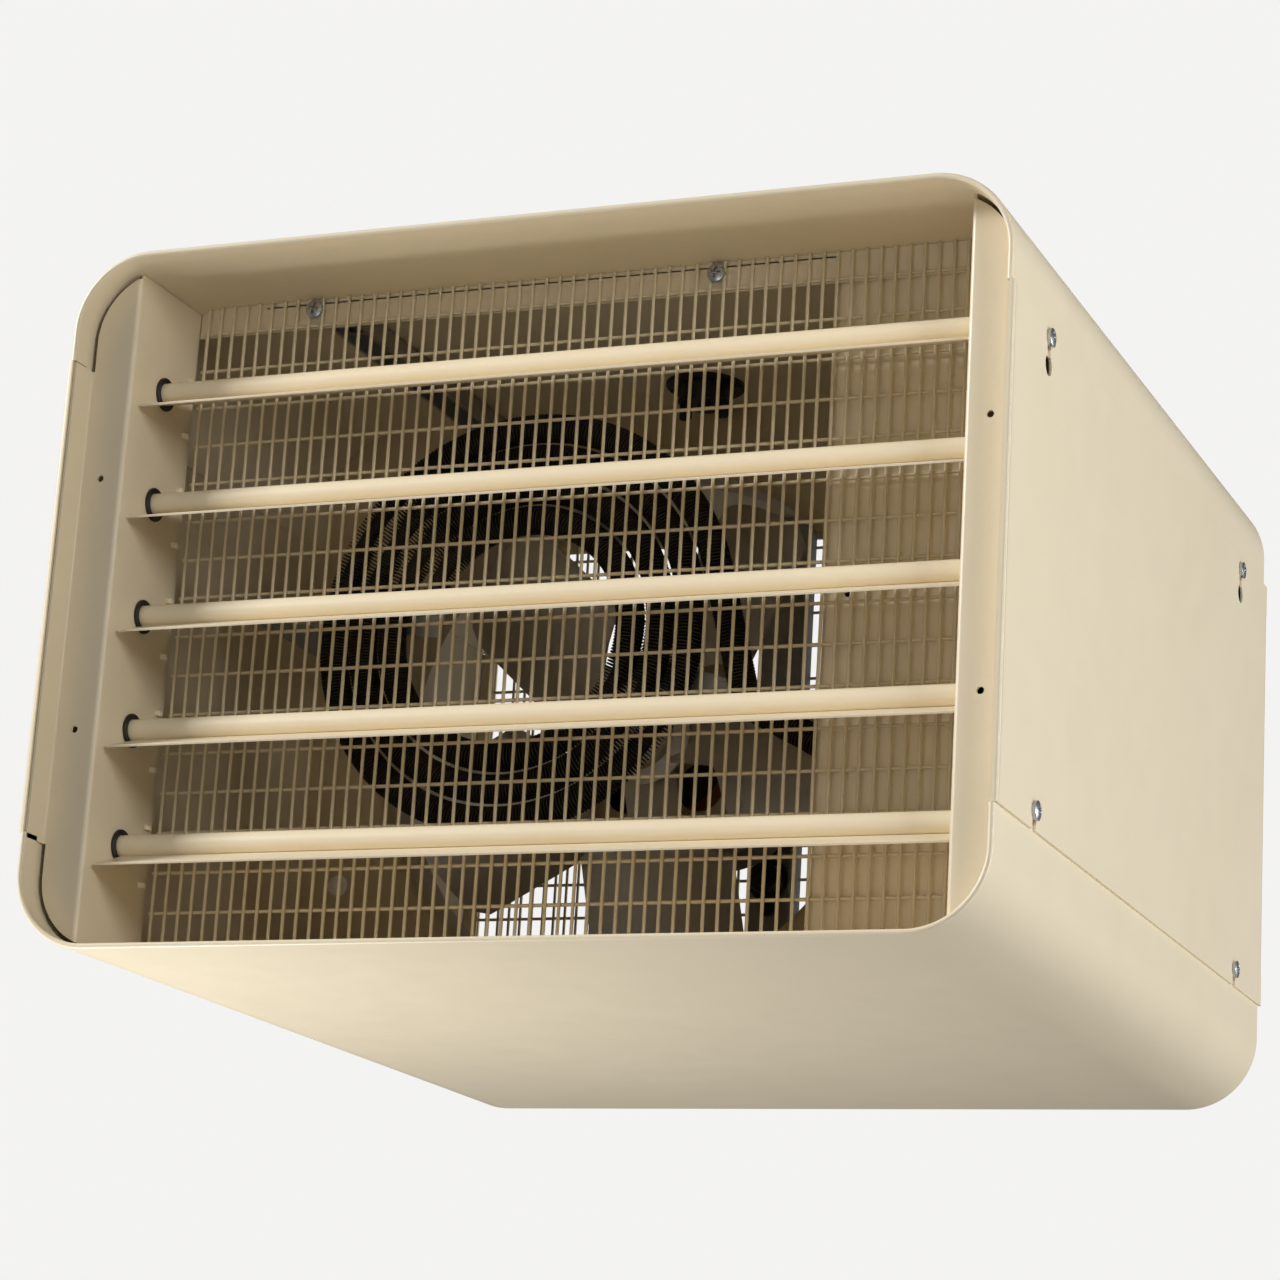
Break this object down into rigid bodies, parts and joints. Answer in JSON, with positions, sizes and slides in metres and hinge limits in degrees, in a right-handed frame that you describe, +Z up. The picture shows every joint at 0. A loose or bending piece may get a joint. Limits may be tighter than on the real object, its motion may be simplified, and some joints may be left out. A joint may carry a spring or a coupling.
{
  "type": "ceiling mounted fan heater",
  "caption": "Square almond ceiling fan heater with adjustable louvers, wire grilles, a finned heating coil, an axial fan with its motor and a side control compartment.",
  "frame": {"origin": "centre of the four ceiling mounting holes, on the top face of the case", "axes": "+Z up to the ceiling, +X to the right seen from the front, the air leaves along -Y"},
  "size_m": [0.4298, 0.4344, 0.306],
  "materials": {
    "almond": "satin powder coat",
    "zinc": "zinc plated",
    "galvanised": "galvanised",
    "bushing_black": "moulded",
    "sheath": "oxidised",
    "aluminium": "mill finish",
    "ceramic": "glazed ceramic",
    "lamination": "bare laminations",
    "copper": "enamelled copper wire",
    "bronze": "sintered bronze",
    "brown_plastic": "moulded phenolic",
    "tape": "wrapped tape",
    "green": "green passivated"
  },
  "bodies": {
    "case": {"top_shell": "almond", "bottom_shell": "almond", "side_panel_left": "almond", "side_panel_right": "almond", "panel_screws": "zinc", "hanger_rail_left": "galvanised", "hanger_rail_right": "galvanised", "hanger_nuts": "zinc", "louver_bracket_left": "almond", "louver_bracket_right": "almond", "louver_bushings": "bushing_black", "front_grille": "almond", "grille_rail_top": "almond", "grille_rail_bottom": "almond", "grille_screws": "zinc", "partition": "almond", "fan_plate": "almond", "rear_guard": "almond", "guard_screws": "zinc", "guard_brace": "galvanised", "hole_plug": "almond", "heating_coil": "sheath", "coil_supports": "galvanised", "lead_bushings": "ceramic", "high_limit": "bushing_black", "motor_stator": "lamination", "motor_windings": "copper", "motor_bell_front": "galvanised", "motor_bell_rear": "galvanised", "motor_bearings": "bronze", "motor_bracket": "almond", "motor_bolts": "zinc", "fan_switch": "bushing_black", "contactor_base": "brown_plastic", "transformer_core": "sheath", "transformer_coil": "tape", "terminal_block": "bushing_black", "terminal_screws": "bronze", "ground_screw": "green", "cable_bushing": "bushing_black"},
    "louver_body_1": {"louver_1": "almond"},
    "louver_body_2": {"louver_2": "almond"},
    "louver_body_3": {"louver_3": "almond"},
    "louver_body_4": {"louver_4": "almond"},
    "louver_body_5": {"louver_5": "almond"},
    "fan_body": {"fan": "aluminium", "fan_set_screw": "zinc", "motor_shaft": "zinc", "motor_rotor": "galvanised"},
    "armature_body": {"contactor_armature": "lamination"}
  },
  "joints": [
    {"name": "louver_hinge_1", "type": "hinge", "parent": "case", "child": "louver_body_1", "pos_m": [0, -0.1728, -0.0503], "axis": [1, 0, 0], "range_deg": [-65, 65]},
    {"name": "louver_hinge_2", "type": "hinge", "parent": "case", "child": "louver_body_2", "pos_m": [0, -0.1728, -0.1011], "axis": [1, 0, 0], "range_deg": [-65, 65]},
    {"name": "louver_hinge_3", "type": "hinge", "parent": "case", "child": "louver_body_3", "pos_m": [0, -0.1728, -0.1519], "axis": [1, 0, 0], "range_deg": [-65, 65]},
    {"name": "louver_hinge_4", "type": "hinge", "parent": "case", "child": "louver_body_4", "pos_m": [0, -0.1728, -0.2027], "axis": [1, 0, 0], "range_deg": [-65, 65]},
    {"name": "louver_hinge_5", "type": "hinge", "parent": "case", "child": "louver_body_5", "pos_m": [0, -0.1728, -0.2535], "axis": [1, 0, 0], "range_deg": [-65, 65]},
    {"name": "fan_spin", "type": "hinge", "parent": "case", "child": "fan_body", "pos_m": [-0.048, 0.058, -0.153], "axis": [0, 1, 0], "continuous": true},
    {"name": "contactor_pull", "type": "slide", "parent": "case", "child": "armature_body", "axis": [1, 0, 0], "range_m": [-0.003, 0], "stiffness_N_per_m": 500, "springref_m": 0.004}
  ]
}
